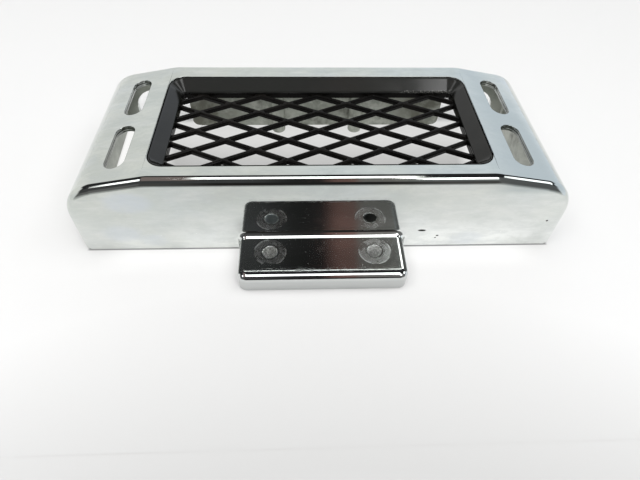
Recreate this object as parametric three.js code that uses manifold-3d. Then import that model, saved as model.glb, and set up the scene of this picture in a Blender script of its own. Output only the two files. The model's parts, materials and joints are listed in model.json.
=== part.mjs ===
// Chromed cast vent cover with a black diamond lattice, as an assembly.
//
// Row frame: millimetres, +X to the cover's right, +Y from the mounting tab
// towards the rear skirt, +Z up out of the louvred face. The rim of the housing
// and the underside of the tab lie in the plane Z = 0, and the origin is the
// centre of the assembly's footprint.
//
// The face plate isn't parallel to the rim: it falls FACE_TILT degrees towards
// the rear. Everything that belongs to the face (housing shell, bezel, lattice,
// screws) is drawn in the "face frame", where the face is level, z = FACE_H is
// its outer surface and y = 0 is the front wall. That frame is then leaned back
// about the X axis so that the rim comes out level.

import * as THREE from 'three';
import { mergeVertices } from 'three/addons/utils/BufferGeometryUtils.js';
import Module from 'manifold-3d';

// ---- housing casting ------------------------------------------------------
const HALF_W = 113.5;        // half width over the side walls
const DEPTH = 92.8;          // front wall to rear wall, along the face
const FACE_H = 43.55;        // rim to face at the front wall
const FACE_TILT = 4.0;       // degrees between face and rim
const EDGE_R = 3.8;          // rounding of the face's front and rear edges
const CREASE_X = 76.0;       // where the level face breaks into the side facets
const FACET_DEG = 10.2;      // fall of the side facets
const SHOULDER_R = 17.5;     // rounding from facet to side wall
const WALL = 3.0;            // casting wall

const OPEN_X = 76.7;         // half width of the face opening
const OPEN_Y0 = 9.5;         // opening's front edge
const OPEN_Y1 = 80.9;        // opening's rear edge
const OPEN_R = 8.0;          // opening's corner radius

const SLOT_X = 91.3;         // slot centreline
const SLOT_W = 9.4;          // slot width
const SLOT_SPANS = [[11.7, 41.6], [51.0, 81.2]];   // slot ends, front and rear

const NOTCH_IN = 72.6;       // rear-wall notch: inner edge = edge of the skirt
const NOTCH_OUT = 102.0;     // outer edge
const NOTCH_TOP = 30.0;      // top of the notch
const NOTCH_R_OUT = 12.0;    // large outer top corner
const NOTCH_R_IN = 4.0;      // small inner top corner
const SKIRT_R = 3.5;         // rounded lower corners of the skirt

// ---- mounting tab (level with the rim) ------------------------------------
const TAB_HALF_W = 38.3;
const TAB_OUT = 24.1;        // how far it stands out of the front wall
const TAB_T = 9.45;          // thickness at its root
const TAB_RISE = 2.2;        // degrees by which its top rises towards its free edge
const TAB_EDGE_IN = 3.4;     // rounding of its upper edges, measured inwards
const TAB_EDGE_DOWN = 1.9;   // and downwards
const TAB_CORNER_R = 3.8;    // plan radius of its corners
const TAB_FILLET_R = 2.5;    // fillet to the front wall
const TAB_HOLE_D = 6.5;      // clearance hole for an M6 bolt
const TAB_HOLE_X = 24.05;
const TAB_HOLE_Y = -9.75;

// ---- rear posts -----------------------------------------------------------
const POST_X = 22.3;
const POST_Y = 86.6;
const POST_R = 3.8;
const POST_TOP = 32.0;
const POST_BORE_R = 2.1;     // tapping size for M5
const POST_BORE_DEEP = 14.0;

// ---- bezel ----------------------------------------------------------------
const FIT = 0.3;             // gap between neighbouring pieces
const BEZEL_INSET = 5.8;     // width of the sloping band
const BEZEL_DROP = 5.35;     // depth of the band's lower edge under the face
const BEZEL_BOTTOM = 6.5;    // underside of the bezel under the face
const BEZEL_FLANGE = 1.6;    // flange beyond the opening, behind the face
const BEZEL_FLANGE_TOP = 4.3;

// ---- lattice panel --------------------------------------------------------
const PANEL_TOP = 6.8;       // below the face
const PANEL_T = 2.4;
const PANEL_X = 85.9;        // half width of the panel's border
const PANEL_Y0 = 4.0;
const PANEL_Y1 = 89.2;
const PANEL_R = 3.0;
const PITCH_X = 30.0;        // crossing to crossing across
const PITCH_Y = 15.0;        // crossing to crossing along
const BAR_W = 2.1;           // width of a bar
const ROW0_Y = 74.6;         // rearmost row of crossings
const ROW0_X = -60.5;        // one crossing of that row

// ---- screws and washers ---------------------------------------------------
const SCREW_AT = {
  front_left: [-82.2, 12.0], mid_left: [-82.2, 45.2], rear_left: [-82.2, 78.4],
  front_right: [82.2, 12.0], mid_right: [82.2, 45.2], rear_right: [82.2, 78.4],
  back_left: [-40.0, 86.0], back_right: [40.0, 86.0],
};
const SHANK_R = 1.45;        // 2.9 mm thread-forming screw
const HEAD_R = 2.8;
const HEAD_T = 2.1;
const WASHER_R = 3.2;
const WASHER_T = 0.8;
const BOSS_R = 3.2;          // bosses under the face that take the screws
const BOSS_BOTTOM = 6.5;
const SCREW_TIP = 3.9;       // shank's end below the face

const rad = THREE.MathUtils.degToRad;
const wasm = await Module();
wasm.setup();

// ---- helpers --------------------------------------------------------------
// A closed geometry as a solid, and back again.
function solid(geometry) {
  let g = geometry.clone();
  g.deleteAttribute('normal');
  g.deleteAttribute('uv');
  g = mergeVertices(g, 1e-4);
  return new wasm.Manifold(new wasm.Mesh({
    numProp: 3,
    vertProperties: new Float32Array(g.attributes.position.array),
    triVerts: new Uint32Array(g.index.array),
  }));
}

function geometryOf(manifold) {
  const m = manifold.getMesh();
  const p = new Float32Array(m.numVert * 3);
  for (let i = 0; i < m.numVert; i++) {
    for (let k = 0; k < 3; k++) p[3 * i + k] = m.vertProperties[m.numProp * i + k];
  }
  const g = new THREE.BufferGeometry();
  g.setAttribute('position', new THREE.BufferAttribute(p, 3));
  g.setIndex(new THREE.BufferAttribute(new Uint32Array(m.triVerts), 1));
  g.computeVertexNormals();
  return g;
}

// A plan shape (x, y) raised from z0 to z1.
function plate(shape, z0, z1, curveSegments = 6, bevel = {}) {
  const g = new THREE.ExtrudeGeometry(shape, {
    depth: z1 - z0, bevelEnabled: false, curveSegments, ...bevel,
  });
  g.translate(0, 0, z0);
  return g;
}

// A front-view shape (x, z) run along y from y0 to y1.
function run(shape, y0, y1, curveSegments = 6, bevel = {}) {
  const g = new THREE.ExtrudeGeometry(shape, {
    depth: y1 - y0, bevelEnabled: false, curveSegments, ...bevel,
  });
  g.rotateX(Math.PI / 2);
  g.translate(0, y1, 0);
  return g;
}

function roundedRect(x0, y0, x1, y1, r) {
  const s = new THREE.Shape();
  s.moveTo(x0 + r, y0);
  s.lineTo(x1 - r, y0);
  s.absarc(x1 - r, y0 + r, r, -Math.PI / 2, 0, false);
  s.lineTo(x1, y1 - r);
  s.absarc(x1 - r, y1 - r, r, 0, Math.PI / 2, false);
  s.lineTo(x0 + r, y1);
  s.absarc(x0 + r, y1 - r, r, Math.PI / 2, Math.PI, false);
  s.lineTo(x0, y0 + r);
  s.absarc(x0 + r, y0 + r, r, Math.PI, 1.5 * Math.PI, false);
  return s;
}

function cylinder(x, y, z0, z1, r, segments = 20) {
  const g = new THREE.CylinderGeometry(r, r, z1 - z0, segments);
  g.rotateX(Math.PI / 2);
  g.translate(x, y, (z0 + z1) / 2);
  return g;
}

// The cover's cross-section, drawn parallel to the outer skin at a distance
// `inset` inside it: level face, side facets, round shoulders, upright walls.
function section(inset, bottom, steps) {
  const a = rad(FACET_DEG);
  const cx = HALF_W - SHOULDER_R;
  const cz = FACE_H - (cx - CREASE_X) * Math.tan(a) - SHOULDER_R / Math.cos(a);
  const r = SHOULDER_R - inset;
  const right = [[CREASE_X - inset * Math.tan(a / 2), FACE_H - inset]];
  for (let i = 0; i <= steps; i++) {
    const t = (Math.PI / 2 - a) * (1 - i / steps);
    right.push([cx + r * Math.cos(t), cz + r * Math.sin(t)]);
  }
  right.push([HALF_W - inset, bottom]);
  const s = new THREE.Shape();
  const pts = [...right.map(([x, z]) => [-x, z]).reverse(), ...right].reverse();
  pts.forEach(([x, z], i) => (i ? s.lineTo(x, z) : s.moveTo(x, z)));
  s.closePath();
  return s;
}

const opening = (grow, extra = 0) => roundedRect(
  -OPEN_X - grow, OPEN_Y0 - grow, OPEN_X + grow, OPEN_Y1 + grow, Math.max(OPEN_R + grow + extra, 0.6));

// ---- housing --------------------------------------------------------------
function makeHousing() {
  // outer skin: the section run front to rear, with both end edges rounded
  let body = solid(run(section(0, -20, 9), EDGE_R, DEPTH - EDGE_R, 6, {
    bevelEnabled: true, bevelThickness: EDGE_R, bevelSize: EDGE_R, bevelOffset: -EDGE_R, bevelSegments: 5,
  }));
  body = body.subtract(solid(run(section(WALL, -30, 7), WALL, DEPTH - WALL)));

  // bosses for the panel's screws, under the face
  for (const [x, y] of Object.values(SCREW_AT)) {
    body = body.add(solid(cylinder(x, y, FACE_H - BOSS_BOTTOM, FACE_H - 2.5, BOSS_R, 18)));
    body = body.subtract(solid(cylinder(x, y, FACE_H - 9, FACE_H - SCREW_TIP + 0.4, SHANK_R + FIT, 12)));
  }

  // rear posts, half sunk into the rear wall
  for (const s of [-1, 1]) {
    body = body.add(solid(cylinder(s * POST_X, POST_Y, -20, POST_TOP, POST_R, 24)));
  }

  // face opening and side slots
  body = body.subtract(solid(plate(opening(0), FACE_H - 15, FACE_H + 5, 8)));
  for (const s of [-1, 1]) {
    for (const [y0, y1] of SLOT_SPANS) {
      const x = s * SLOT_X;
      body = body.subtract(solid(plate(
        roundedRect(x - SLOT_W / 2, y0, x + SLOT_W / 2, y1, SLOT_W / 2 - 0.01), FACE_H - 22, FACE_H + 5, 7)));
    }
  }

  // notches either side of the rear skirt
  for (const s of [-1, 1]) {
    const n = new THREE.Shape();
    const foot = DEPTH * Math.tan(rad(FACE_TILT));    // rim's height at the rear wall
    n.moveTo(s * (NOTCH_IN - SKIRT_R - 1), -25);
    n.lineTo(s * (NOTCH_IN - SKIRT_R - 1), foot - 0.001);
    n.lineTo(s * (NOTCH_IN - SKIRT_R), foot);
    for (let i = 1; i <= 5; i++) {
      const t = -Math.PI / 2 + (Math.PI / 2) * (i / 5);
      n.lineTo(s * (NOTCH_IN - SKIRT_R + SKIRT_R * Math.cos(t)), foot + SKIRT_R + SKIRT_R * Math.sin(t));
    }
    n.lineTo(s * NOTCH_IN, NOTCH_TOP - NOTCH_R_IN);
    for (let i = 1; i <= 4; i++) {
      const t = Math.PI - (Math.PI / 2) * (i / 4);
      n.lineTo(s * (NOTCH_IN + NOTCH_R_IN + NOTCH_R_IN * Math.cos(t)), NOTCH_TOP - NOTCH_R_IN + NOTCH_R_IN * Math.sin(t));
    }
    for (let i = 0; i <= 8; i++) {
      const t = Math.PI / 2 * (1 - i / 8);
      n.lineTo(s * (NOTCH_OUT - NOTCH_R_OUT + NOTCH_R_OUT * Math.cos(t)), NOTCH_TOP - NOTCH_R_OUT + NOTCH_R_OUT * Math.sin(t));
    }
    n.lineTo(s * NOTCH_OUT, -25);
    n.closePath();
    body = body.subtract(solid(run(n, DEPTH - WALL - 1, DEPTH + 2)));
  }

  // lean the shell back into the level frame
  const leaned = geometryOf(body);
  leaned.rotateX(-rad(FACE_TILT));
  body = solid(leaned);

  // tab; its top is sheared up towards the free edge, and its lower half is
  // cut away with the rim
  const rise = Math.tan(rad(TAB_RISE));
  const tab = new THREE.ExtrudeGeometry(
    roundedRect(-TAB_HALF_W, -TAB_OUT, TAB_HALF_W, TAB_OUT, TAB_CORNER_R), {
      depth: 2 * TAB_T - 2 * TAB_EDGE_DOWN, curveSegments: 5, bevelEnabled: true,
      bevelThickness: TAB_EDGE_DOWN, bevelSize: TAB_EDGE_IN, bevelOffset: -TAB_EDGE_IN, bevelSegments: 5,
    });
  tab.translate(0, 0, -TAB_T + TAB_EDGE_DOWN);
  tab.applyMatrix4(new THREE.Matrix4().set(1, 0, 0, 0, 0, 1, 0, 0, 0, -rise, 1, 0, 0, 0, 0, 1));
  const behind = new THREE.BoxGeometry(200, 60, 60);
  behind.translate(0, 30 + 1.2, 0);
  body = body.add(solid(tab).subtract(solid(behind)));

  // concave fillet between the tab's top and the leaning front wall: its centre
  // is TAB_FILLET_R off both planes
  const lean = rad(FACE_TILT);
  const up = rad(TAB_RISE);
  const R = TAB_FILLET_R;
  // wall: y cos(lean) - z sin(lean) = 0; top: y sin(up) + z cos(up) = TAB_T cos(up)
  const det = Math.cos(lean) * Math.cos(up) + Math.sin(lean) * Math.sin(up);
  const top = TAB_T * Math.cos(up) + R;
  const yc = (-R * Math.cos(up) + Math.sin(lean) * top) / det;
  const zc = (Math.cos(lean) * top + R * Math.sin(up)) / det;
  const f = new THREE.Shape();
  // drawn in (y, z); mapped below so that it runs along x
  const from = -Math.PI / 2 - up, to = -lean;
  f.moveTo(yc + R * Math.cos(from), TAB_T - 1);
  for (let i = 0; i <= 5; i++) {
    const t = from + (to - from) * (i / 5);
    f.lineTo(yc + R * Math.cos(t), zc + R * Math.sin(t));
  }
  f.lineTo(2, zc - R * Math.sin(lean));
  f.lineTo(2, TAB_T - 1);
  f.closePath();
  const w = TAB_HALF_W - TAB_EDGE_IN;
  const fillet = new THREE.ExtrudeGeometry(f, { depth: 2 * w, bevelEnabled: false });
  // (y, z, run) -> (x, y, z)
  fillet.applyMatrix4(new THREE.Matrix4().set(0, 0, 1, -w, 1, 0, 0, 0, 0, 1, 0, 0, 0, 0, 0, 1));
  body = body.add(solid(fillet));

  // tab bolt holes and post bores
  for (const s of [-1, 1]) {
    body = body.subtract(solid(cylinder(s * TAB_HOLE_X, TAB_HOLE_Y, -20, TAB_T + 5, TAB_HOLE_D / 2, 24)));
  }
  const c = Math.cos(lean), sn = Math.sin(lean);
  for (const s of [-1, 1]) {
    const foot = POST_Y * Math.tan(lean);
    const bore = cylinder(s * POST_X, POST_Y, foot - 10, foot + POST_BORE_DEEP, POST_BORE_R, 16);
    bore.rotateX(-lean);
    body = body.subtract(solid(bore));
  }

  // level rim: everything under z = 0 goes
  const under = new THREE.BoxGeometry(400, 400, 80);
  under.translate(0, 30, -40);
  body = body.subtract(solid(under));
  return geometryOf(body);
}

// ---- bezel ----------------------------------------------------------------
function makeBezel() {
  const z = (d) => FACE_H - d;
  let b = solid(plate(opening(-FIT), z(BEZEL_BOTTOM), z(0.25), 8));
  b = b.add(solid(plate(opening(BEZEL_FLANGE), z(BEZEL_BOTTOM), z(BEZEL_FLANGE_TOP), 8)));
  // sloping band: a bevelled cutter that narrows downwards to the inner window
  const grow = BEZEL_INSET - FIT;
  const cut = new THREE.ExtrudeGeometry(opening(-FIT - 0.02), {
    depth: 8, curveSegments: 8, bevelEnabled: true, bevelSegments: 1,
    bevelThickness: BEZEL_DROP - 0.25, bevelSize: grow, bevelOffset: -grow,
  });
  // full size from the face's level upwards
  cut.translate(0, 0, z(0.25));
  // ExtrudeGeometry adds its bevel outside the depth: bring the wide end to the
  // outline, the narrow end to the foot of the band
  b = b.subtract(solid(cut));
  b = b.subtract(solid(plate(
    roundedRect(-OPEN_X + BEZEL_INSET, OPEN_Y0 + BEZEL_INSET, OPEN_X - BEZEL_INSET, OPEN_Y1 - BEZEL_INSET, OPEN_R - BEZEL_INSET),
    z(BEZEL_BOTTOM + 2), z(-2), 8)));
  return geometryOf(b);
}

// ---- lattice panel --------------------------------------------------------
function makeLattice() {
  const z1 = FACE_H - PANEL_TOP;
  const z0 = z1 - PANEL_T;
  let p = solid(plate(roundedRect(-PANEL_X, PANEL_Y0, PANEL_X, PANEL_Y1, PANEL_R), z0, z1, 3));
  const wx = OPEN_X - BEZEL_INSET;
  const wy0 = OPEN_Y0 + BEZEL_INSET;
  const wy1 = OPEN_Y1 - BEZEL_INSET;
  const window = solid(plate(roundedRect(-wx, wy0, wx, wy1, OPEN_R - BEZEL_INSET), z0 - 1, z1 + 1, 3));

  // half diagonals of one hole between bars of width BAR_W
  const ang = Math.atan2(PITCH_Y, PITCH_X);
  const hx = PITCH_X / 2 - BAR_W / 2 / Math.sin(ang);
  const hy = PITCH_Y / 2 - BAR_W / 2 / Math.cos(ang);
  const holes = [];
  for (let i = 0; i <= 8; i++) {
    const y = ROW0_Y - i * PITCH_Y / 2;
    const first = ROW0_X + (i % 2 ? 0 : PITCH_X / 2);
    for (let k = -1; k <= 5; k++) {
      const x = first + k * PITCH_X;
      if (x + hx < -wx + 0.8 || x - hx > wx - 0.8) continue;
      const d = new THREE.Shape();
      d.moveTo(x - hx, y);
      d.lineTo(x, y - hy);
      d.lineTo(x + hx, y);
      d.lineTo(x, y + hy);
      d.closePath();
      holes.push(solid(plate(d, z0 - 1, z1 + 1)));
    }
  }
  const cut = wasm.Manifold.union(holes).intersect(window);
  p = p.subtract(cut);
  for (const [x, y] of Object.values(SCREW_AT)) {
    p = p.subtract(solid(cylinder(x, y, z0 - 1, z1 + 1, SHANK_R + 0.4, 12)));
  }
  return geometryOf(p);
}

// ---- screws and washers ---------------------------------------------------
// Drawn about the origin with the underside of the head at z = 0, shank up.
function makeScrew() {
  const L = SCREW_LENGTH;
  const pts = [
    [0, L], [SHANK_R * 0.45, L - 0.2], [SHANK_R, L - 1.4], [SHANK_R, 0], [HEAD_R, 0],
    [HEAD_R, -0.7], [HEAD_R * 0.9, -1.35], [HEAD_R * 0.6, -HEAD_T + 0.15], [0, -HEAD_T],
  ].reverse().map(([x, y]) => new THREE.Vector2(x, y));
  const g = new THREE.LatheGeometry(pts, 16);
  g.rotateX(Math.PI / 2);
  let s = solid(g);
  for (const turn of [0, Math.PI / 2]) {
    const bar = new THREE.BoxGeometry(2.9, 0.7, 1.5);
    bar.translate(0, 0, -HEAD_T + 0.35);
    bar.rotateZ(turn);
    s = s.subtract(solid(bar));
  }
  return geometryOf(s);
}

function makeWasher() {
  const ri = SHANK_R + FIT + 0.05;
  const pts = [[ri, 0], [WASHER_R, 0], [WASHER_R, WASHER_T], [ri, WASHER_T], [ri, 0]]
    .map(([x, y]) => new THREE.Vector2(x, y));
  const g = new THREE.LatheGeometry(pts, 18);
  g.rotateX(Math.PI / 2);
  return geometryOf(solid(g));
}

const HEAD_SEAT = FACE_H - PANEL_TOP - PANEL_T - FIT - WASHER_T - FIT;
const SCREW_LENGTH = (FACE_H - SCREW_TIP) - HEAD_SEAT;

// ---- materials ------------------------------------------------------------
const chrome = new THREE.MeshStandardMaterial({ color: 0xc9ccc8, roughness: 0.12, metalness: 1.0, flatShading: true });
const bezelBlack = new THREE.MeshStandardMaterial({ color: 0x2a2a28, roughness: 0.32, metalness: 0.0, flatShading: true });
const latticeBlack = new THREE.MeshStandardMaterial({ color: 0x161514, roughness: 0.5, metalness: 0.0, flatShading: true });
const steel = new THREE.MeshStandardMaterial({ color: 0xa9abac, roughness: 0.35, metalness: 1.0, flatShading: true });
const washerSteel = new THREE.MeshStandardMaterial({ color: 0x9a9c9e, roughness: 0.42, metalness: 1.0, flatShading: true });

// ---- assembly -------------------------------------------------------------
function node(name, geometry, material) {
  const m = new THREE.Mesh(geometry, material);
  m.name = name;
  return m;
}

const cover = new THREE.Group();      // placed so that the footprint is centred
const face = new THREE.Group();       // face frame, leaned back onto the rim
face.rotation.x = -rad(FACE_TILT);
cover.add(node('housing', makeHousing(), chrome));
cover.add(face);
face.add(node('bezel', makeBezel(), bezelBlack));
face.add(node('lattice_panel', makeLattice(), latticeBlack));

for (const [where, [x, y]] of Object.entries(SCREW_AT)) {
  const screw = node(`screw_${where}`, makeScrew(), steel);
  screw.position.set(x, y, HEAD_SEAT);
  face.add(screw);
  const washer = node(`washer_${where}`, makeWasher(), washerSteel);
  washer.position.set(x, y, HEAD_SEAT + FIT);
  face.add(washer);
}

const part = new THREE.Group();
part.add(cover);
part.updateMatrixWorld(true);
const box = new THREE.Box3().setFromObject(cover, true);
cover.position.set(-(box.min.x + box.max.x) / 2, -(box.min.y + box.max.y) / 2, 0);
part.updateMatrixWorld(true);

export default part;
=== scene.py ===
import json
import math
import random

import bmesh
import bpy
from mathutils import Matrix, Vector

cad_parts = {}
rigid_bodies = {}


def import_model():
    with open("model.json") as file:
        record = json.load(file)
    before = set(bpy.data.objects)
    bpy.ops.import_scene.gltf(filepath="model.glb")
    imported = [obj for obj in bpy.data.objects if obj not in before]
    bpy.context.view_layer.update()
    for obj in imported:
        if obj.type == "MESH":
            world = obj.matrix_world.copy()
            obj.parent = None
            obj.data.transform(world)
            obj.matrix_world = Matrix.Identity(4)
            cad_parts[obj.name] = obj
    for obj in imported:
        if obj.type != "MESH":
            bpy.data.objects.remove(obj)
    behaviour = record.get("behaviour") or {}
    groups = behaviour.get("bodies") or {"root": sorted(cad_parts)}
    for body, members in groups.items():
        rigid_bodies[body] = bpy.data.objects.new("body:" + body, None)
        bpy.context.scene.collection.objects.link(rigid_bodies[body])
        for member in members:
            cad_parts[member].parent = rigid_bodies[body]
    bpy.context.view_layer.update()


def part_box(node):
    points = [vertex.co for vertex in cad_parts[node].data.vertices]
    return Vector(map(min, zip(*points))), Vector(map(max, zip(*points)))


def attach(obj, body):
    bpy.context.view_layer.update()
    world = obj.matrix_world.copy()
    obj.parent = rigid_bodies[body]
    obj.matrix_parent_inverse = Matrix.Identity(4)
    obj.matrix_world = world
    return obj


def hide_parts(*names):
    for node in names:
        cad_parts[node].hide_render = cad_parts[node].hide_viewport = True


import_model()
scene = bpy.context.scene
col = scene.collection

# ---------------------------------------------------------------------------
# Design dimensions, millimetres, as in the CAD source. The face frame has its
# y = 0 on the front wall and z = FACE_H on the face; LEAN tips it onto the rim.
# ---------------------------------------------------------------------------
HALF_W, DEPTH, FACE_H, EDGE_R = 113.5, 92.8, 43.55, 3.8
CREASE_X, SHOULDER_R, WALL = 76.0, 17.5, 3.0
TILT = math.radians(4.0)
FACET = math.radians(10.2)
OPEN_X, OPEN_Y0, OPEN_Y1, OPEN_R = 76.7, 9.5, 80.9, 8.0
SLOT_X, SLOT_W = 91.3, 9.4
SLOT_SPANS = ((11.7, 41.6), (51.0, 81.2))
NOTCH_IN, NOTCH_OUT, NOTCH_TOP, NOTCH_R_OUT, NOTCH_R_IN, SKIRT_R = 72.6, 102.0, 30.0, 12.0, 4.0, 3.5
TAB_W, TAB_OUT, TAB_T, TAB_CORNER_R = 38.3, 24.1, 9.45, 3.8
TAB_RISE = math.tan(math.radians(2.2))
TAB_EDGE_IN, TAB_EDGE_DOWN = 3.1, 2.2         # rounding of its upper edges
ROOT_OUT, ROOT_UP = 3.3, 2.8                  # fillet at its root, along it and up the wall
CLEAR = 0.02                                  # the looks stay this far inside the CAD box
TAB_HOLE_R, TAB_HOLE_X, TAB_HOLE_Y = 3.25, 24.05, -9.75
POST_X, POST_Y, POST_R, POST_TOP, POST_BORE_R, POST_BORE_DEEP = 22.3, 86.6, 3.8, 32.0, 2.1, 14.0
BEZEL_INSET, BEZEL_DROP, BEZEL_BOTTOM, BEZEL_FLANGE, BEZEL_FLANGE_TOP = 5.8, 5.35, 6.5, 1.6, 4.3
PANEL_TOP, PANEL_T, PANEL_X, PANEL_Y0, PANEL_Y1, PANEL_R = 6.8, 2.4, 85.9, 4.0, 89.2, 3.0
PITCH_X, PITCH_Y, BAR_W, ROW0_Y, ROW0_X = 30.0, 15.0, 2.1, 74.6, -60.5
SCREW_AT = {
    "front_left": (-82.2, 12.0), "mid_left": (-82.2, 45.2), "rear_left": (-82.2, 78.4),
    "front_right": (82.2, 12.0), "mid_right": (82.2, 45.2), "rear_right": (82.2, 78.4),
    "back_left": (-40.0, 86.0), "back_right": (40.0, 86.0),
}
SHANK_R, HEAD_R, HEAD_T, WASHER_R, WASHER_T, BOSS_R = 1.45, 2.8, 2.1, 3.2, 0.8, 3.2
BOSS_BOTTOM, SCREW_TIP, FIT = 6.5, 3.9, 0.3
HEAD_SEAT = FACE_H - PANEL_TOP - PANEL_T - FIT - WASHER_T - FIT

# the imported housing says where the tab's front lies, and so where the face frame sits
lo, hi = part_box("housing")
SHIFT_Y = lo.y * 1000.0 + TAB_OUT            # level frame -> row frame, mm
LEVEL = Matrix.Translation((0, SHIFT_Y, 0))
LEAN = LEVEL @ Matrix.Rotation(-TILT, 4, "X")
TO_M = Matrix.Scale(0.001, 4)


# ---------------------------------------------------------------------------
# mesh helpers (all in millimetres until finish_piece)
# ---------------------------------------------------------------------------
def make(name, verts, faces, matrix=None, mat=0):
    me = bpy.data.meshes.new(name)
    me.from_pydata([tuple(v) for v in verts], [], [tuple(f) for f in faces])
    bm = bmesh.new()
    bm.from_mesh(me)
    bmesh.ops.recalc_face_normals(bm, faces=bm.faces)
    for f in bm.faces:
        f.material_index = mat
        f.smooth = True
    bm.to_mesh(me)
    bm.free()
    if matrix is not None:
        me.transform(matrix)
    ob = bpy.data.objects.new(name, me)
    col.objects.link(ob)
    return ob


def rings_mesh(name, rings, matrix=None, mat=0, loop=False):
    """Closed rings of points joined into a tube; capped unless the last meets the first."""
    n = len(rings[0])
    verts = [p for r in rings for p in r]
    faces = []
    m = len(rings)
    for j in range(m if loop else m - 1):
        a, b = j * n, ((j + 1) % m) * n
        for i in range(n):
            k = (i + 1) % n
            faces.append((a + i, a + k, b + k, b + i))
    if not loop:
        faces.append(tuple(range(n)))
        faces.append(tuple((m - 1) * n + i for i in range(n)))
    return make(name, verts, faces, matrix, mat)


def bake_modifiers(ob):
    dg = bpy.context.evaluated_depsgraph_get()
    dg.update()
    me = bpy.data.meshes.new_from_object(ob.evaluated_get(dg), preserve_all_data_layers=True, depsgraph=dg)
    ob.modifiers.clear()
    old = ob.data
    ob.data = me
    bpy.data.meshes.remove(old)
    return ob


def boolean(a, b, op, solver="EXACT"):
    m = a.modifiers.new("cut", "BOOLEAN")
    m.operation = op
    m.object = b
    m.solver = solver
    bake_modifiers(a)
    me = b.data
    bpy.data.objects.remove(b)
    bpy.data.meshes.remove(me)
    return a


def tidy(ob, merge=0.002, split=False):
    bm = bmesh.new()
    bm.from_mesh(ob.data)
    if split:
        bmesh.ops.triangulate(bm, faces=[f for f in bm.faces if len(f.verts) > 4])
    bmesh.ops.remove_doubles(bm, verts=bm.verts, dist=merge)
    bmesh.ops.dissolve_degenerate(bm, edges=bm.edges, dist=merge)
    for f in bm.faces:
        f.smooth = True
    bm.to_mesh(ob.data)
    bm.free()


def soften(ob, width, segments=3, angle=35.0, weight=True):
    m = ob.modifiers.new("edge", "BEVEL")
    m.width = width
    m.segments = segments
    m.limit_method = "ANGLE"
    m.angle_limit = math.radians(angle)
    m.use_clamp_overlap = False
    m.miter_outer = "MITER_ARC"
    bake_modifiers(ob)
    if weight:
        ob.data.set_sharp_from_angle(angle=math.radians(50))
        w = ob.modifiers.new("normals", "WEIGHTED_NORMAL")
        w.mode = "FACE_AREA"
        w.weight = 90
        w.keep_sharp = True
        bake_modifiers(ob)


def finish_piece(ob, name, nodes, mats):
    ob.data.transform(TO_M)
    ob.name = name
    ob.data.name = name
    index = [f.material_index for f in ob.data.polygons]
    ob.data.materials.clear()
    for m in mats:
        ob.data.materials.append(m)
    ob.data.polygons.foreach_set("material_index", index)
    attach(ob, "root")
    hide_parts(*nodes)
    return ob


def rounded_rect(x0, y0, x1, y1, r, n):
    pts = []
    for cx, cy, a0 in ((x1 - r, y0 + r, -90), (x1 - r, y1 - r, 0), (x0 + r, y1 - r, 90), (x0 + r, y0 + r, 180)):
        for i in range(n + 1):
            a = math.radians(a0 + 90 * i / n)
            pts.append((cx + r * math.cos(a), cy + r * math.sin(a)))
    return pts


def opening(grow, n=14):
    return rounded_rect(-OPEN_X - grow, OPEN_Y0 - grow, OPEN_X + grow, OPEN_Y1 + grow, OPEN_R + grow, n)


def prism(name, outline, z0, z1, matrix=None, mat=0):
    return rings_mesh(name, [[(x, y, z0) for x, y in outline], [(x, y, z1) for x, y in outline]], matrix, mat)


def prism_y(name, outline, y0, y1, matrix=None, mat=0):
    return rings_mesh(name, [[(x, y0, z) for x, z in outline], [(x, y1, z) for x, z in outline]], matrix, mat)


def lathe(name, profile, n, matrix=None, mat=0, ring=False):
    """Profile of (radius, z) turned about z. ring=True closes the profile on itself."""
    if ring:
        rings = [[(r * math.cos(2 * math.pi * i / n), r * math.sin(2 * math.pi * i / n), z) for i in range(n)] for r, z in profile]
        return rings_mesh(name, rings, matrix, mat, loop=True)
    rings = [[(r * math.cos(2 * math.pi * i / n), r * math.sin(2 * math.pi * i / n), z) for i in range(n)] for r, z in profile]
    return rings_mesh(name, rings, matrix, mat)


def cyl(name, x, y, z0, z1, r, n=40, matrix=None, mat=0):
    m = (matrix or Matrix.Identity(4)) @ Matrix.Translation((x, y, 0))
    return lathe(name, [(r, z0), (r, z1)], n, m, mat)


# ---------------------------------------------------------------------------
# housing
# ---------------------------------------------------------------------------
def section(inset, bottom, crease_r=22.0, n_crease=8, n_sh=18):
    right = []
    ccx, ccz = CREASE_X - crease_r * math.tan(FACET / 2), FACE_H - crease_r
    r = crease_r - inset
    for i in range(n_crease + 1):
        t = math.pi / 2 - FACET * i / n_crease
        right.append((ccx + r * math.cos(t), ccz + r * math.sin(t)))
    cx = HALF_W - SHOULDER_R
    cz = FACE_H - (cx - CREASE_X) * math.tan(FACET) - SHOULDER_R / math.cos(FACET)
    r = SHOULDER_R - inset
    for i in range(n_sh + 1):
        t = (math.pi / 2 - FACET) * (1 - i / n_sh)
        right.append((cx + r * math.cos(t), cz + r * math.sin(t)))
    right.append((HALF_W - inset, bottom))
    return [(-x, z) for x, z in reversed(right)] + right


def shell(name, skin, y0, y1, edge_r, bottom, steps, mat, crease_r=22.0, n_sh=18):
    rings = []
    for i in range(steps + 1):
        t = math.pi / 2 * i / steps
        rings.append([(x, y0 + edge_r * (1 - math.cos(t)), z) for x, z in section(skin + edge_r * (1 - math.sin(t)), bottom, crease_r, 8, n_sh)])
    for i in range(steps + 1):
        t = math.pi / 2 * (1 - i / steps)
        rings.append([(x, y1 - edge_r * (1 - math.cos(t)), z) for x, z in section(skin + edge_r * (1 - math.sin(t)), bottom, crease_r, 8, n_sh)])
    return rings_mesh(name, rings, LEAN, mat)


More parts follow.
